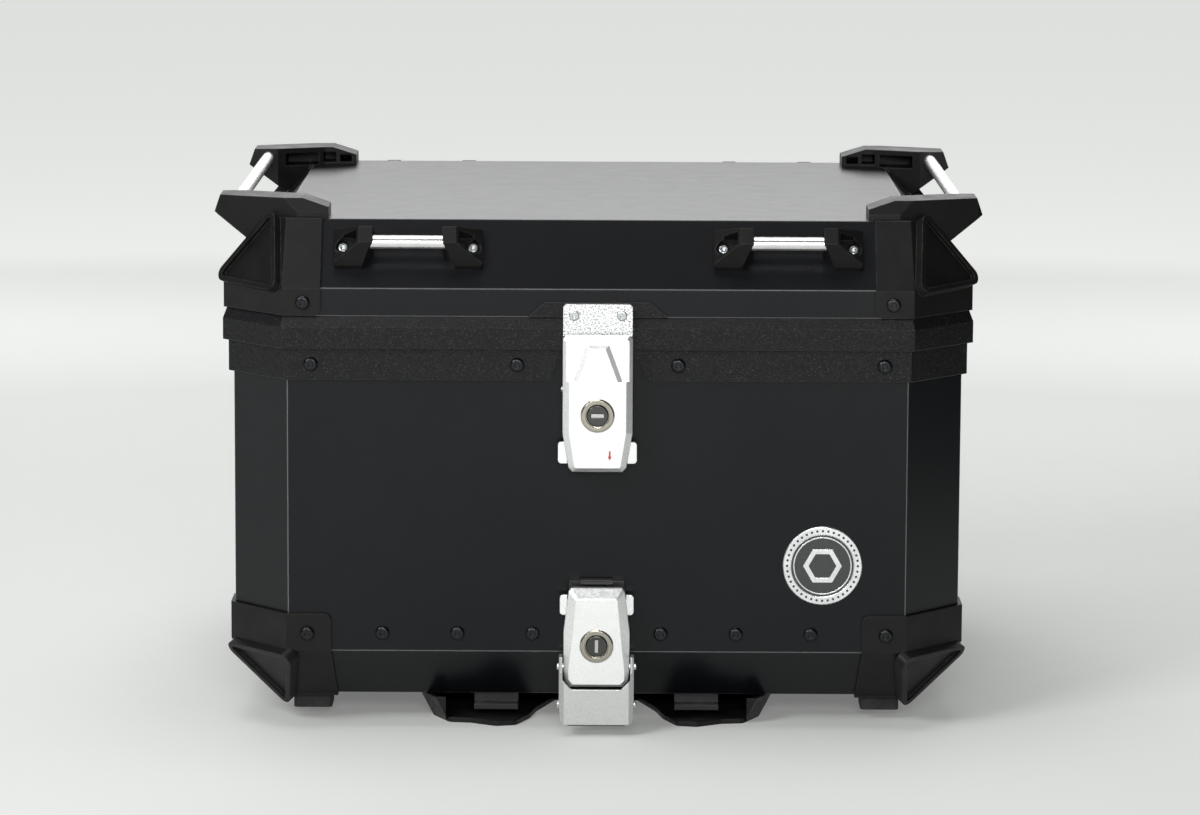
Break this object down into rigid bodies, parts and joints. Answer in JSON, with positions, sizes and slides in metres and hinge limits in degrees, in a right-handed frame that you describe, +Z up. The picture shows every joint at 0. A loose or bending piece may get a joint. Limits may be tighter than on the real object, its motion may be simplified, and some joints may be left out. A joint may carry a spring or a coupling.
{
  "type": "motorcycle top case",
  "caption": "Hard aluminium motorcycle top case with hinged lid, key-locking draw latches, tie-down rods, side rails and a rack mounting plate.",
  "frame": {"origin": "centre of the rack slot pattern on the underside of the mounting plate, below the middle of the case", "axes": "+X across the case, to the right of someone facing the latches; +Y away from the latches towards the hinges; +Z up"},
  "size_m": [0.4572, 0.4342, 0.3148],
  "materials": {
    "shell_black": "black powder coat, fine satin",
    "pan": "mill finish",
    "collar": "coarse moulded grain",
    "corner": "smooth satin moulding",
    "rubber": "matt",
    "screw_black": "black zinc",
    "screw_zinc": "bright zinc",
    "rod": "bright satin anodised",
    "latch_silver": "satin silver paint",
    "keeper_silver": "coarse sparkle silver paint",
    "latch_black": "satin black",
    "chrome": "polished nickel",
    "lock_plug": "dark polished nickel",
    "steel": "plain steel",
    "badge_metal": "bright",
    "badge_face": "gloss domed resin",
    "plate": "moulded grain"
  },
  "bodies": {
    "case": {"body_shell": "shell_black", "floor_pan": "pan", "floor_mat": "rubber", "body_collar": "collar", "lid_seal": "rubber", "corner_feet": "rubber", "dock_tongues": "latch_black", "collar_screws": "screw_black", "skirt_bolts": "screw_black", "badge_disc": "badge_face", "badge_ring": "badge_metal", "upper_latch_base": "latch_black", "lower_latch_base": "latch_black", "latch_pivot_pins": "steel", "upper_claw_pin": "steel", "hinge_body_leaves": "latch_black", "hinge_pins": "steel", "mounting_plate": "plate", "plate_strike": "steel", "bottom_corner_front_left": "corner", "bottom_corner_front_right": "corner", "bottom_corner_back_left": "corner", "bottom_corner_back_right": "corner"},
    "lid": {"lid_shell": "shell_black", "lid_rim": "corner", "lid_screws": "screw_black", "side_rail_left": "rod", "side_rail_right": "rod", "handle_ends_front": "corner", "handle_ends_back": "corner", "handle_rods": "rod", "handle_screws": "screw_zinc", "keeper_pad": "collar", "keeper_plate": "keeper_silver", "keeper_screws": "screw_zinc", "hinge_lid_leaves": "latch_black", "lid_corner_front_left": "corner", "rail_bracket_front_left": "corner", "lid_corner_front_right": "corner", "rail_bracket_front_right": "corner", "lid_corner_back_left": "corner", "rail_bracket_back_left": "corner", "lid_corner_back_right": "corner", "rail_bracket_back_right": "corner"},
    "upper_lever": {"upper_lever": "latch_silver", "upper_lock_ring": "chrome", "upper_lever_rivet": "steel", "upper_spring": "steel"},
    "upper_claw": {"upper_claw": "steel"},
    "upper_release": {"upper_release": "latch_silver"},
    "upper_key": {"upper_key_plug": "lock_plug"},
    "lower_lever": {"lower_lever": "latch_silver", "lower_lock_ring": "chrome", "lower_stirrup_pins": "screw_zinc", "lower_spring": "steel"},
    "lower_stirrup": {"lower_stirrup": "latch_silver"},
    "lower_release": {"lower_release": "latch_silver"},
    "lower_key": {"lower_key_plug": "lock_plug"}
  },
  "joints": [
    {"name": "lid_hinge", "type": "hinge", "parent": "case", "child": "lid", "pos_m": [0, 0.2105, 0.2482], "axis": [-1, 0, 0], "range_deg": [0, 95]},
    {"name": "upper_lever_pivot", "type": "hinge", "parent": "case", "child": "upper_lever", "pos_m": [0, -0.2125, 0.2342], "axis": [-1, 0, 0], "range_deg": [0, 75]},
    {"name": "upper_claw_pivot", "type": "hinge", "parent": "case", "child": "upper_claw", "pos_m": [0, -0.2112, 0.207], "axis": [1, 0, 0], "range_deg": [0, 10]},
    {"name": "upper_release_slide", "type": "slide", "parent": "upper_lever", "child": "upper_release", "axis": [0, 0, -1], "range_m": [0, 0.004], "stiffness_N_per_m": 400, "springref_m": -0.002},
    {"name": "upper_key_turn", "type": "hinge", "parent": "upper_lever", "child": "upper_key", "pos_m": [0, -0.218, 0.1921], "axis": [0, -1, 0], "range_deg": [0, 90]},
    {"name": "lower_lever_pivot", "type": "hinge", "parent": "case", "child": "lower_lever", "pos_m": [0, -0.2085, 0.0345], "axis": [1, 0, 0], "range_deg": [0, 75]},
    {"name": "lower_stirrup_pivot", "type": "hinge", "parent": "lower_lever", "child": "lower_stirrup", "pos_m": [0, -0.211, 0.0412], "axis": [1, 0, 0], "range_deg": [-97.5, 0]},
    {"name": "lower_release_slide", "type": "slide", "parent": "lower_lever", "child": "lower_release", "axis": [0, 0, 1], "range_m": [0, 0.004], "stiffness_N_per_m": 400, "springref_m": -0.002},
    {"name": "lower_key_turn", "type": "hinge", "parent": "lower_lever", "child": "lower_key", "pos_m": [0, -0.216, 0.0543], "axis": [0, -1, 0], "range_deg": [0, 90]}
  ],
  "couplings": [
    {"joint": "upper_claw_pivot", "follows": "upper_lever_pivot", "ratio": 0.13333},
    {"joint": "lower_stirrup_pivot", "follows": "lower_lever_pivot", "ratio": -1.3}
  ]
}
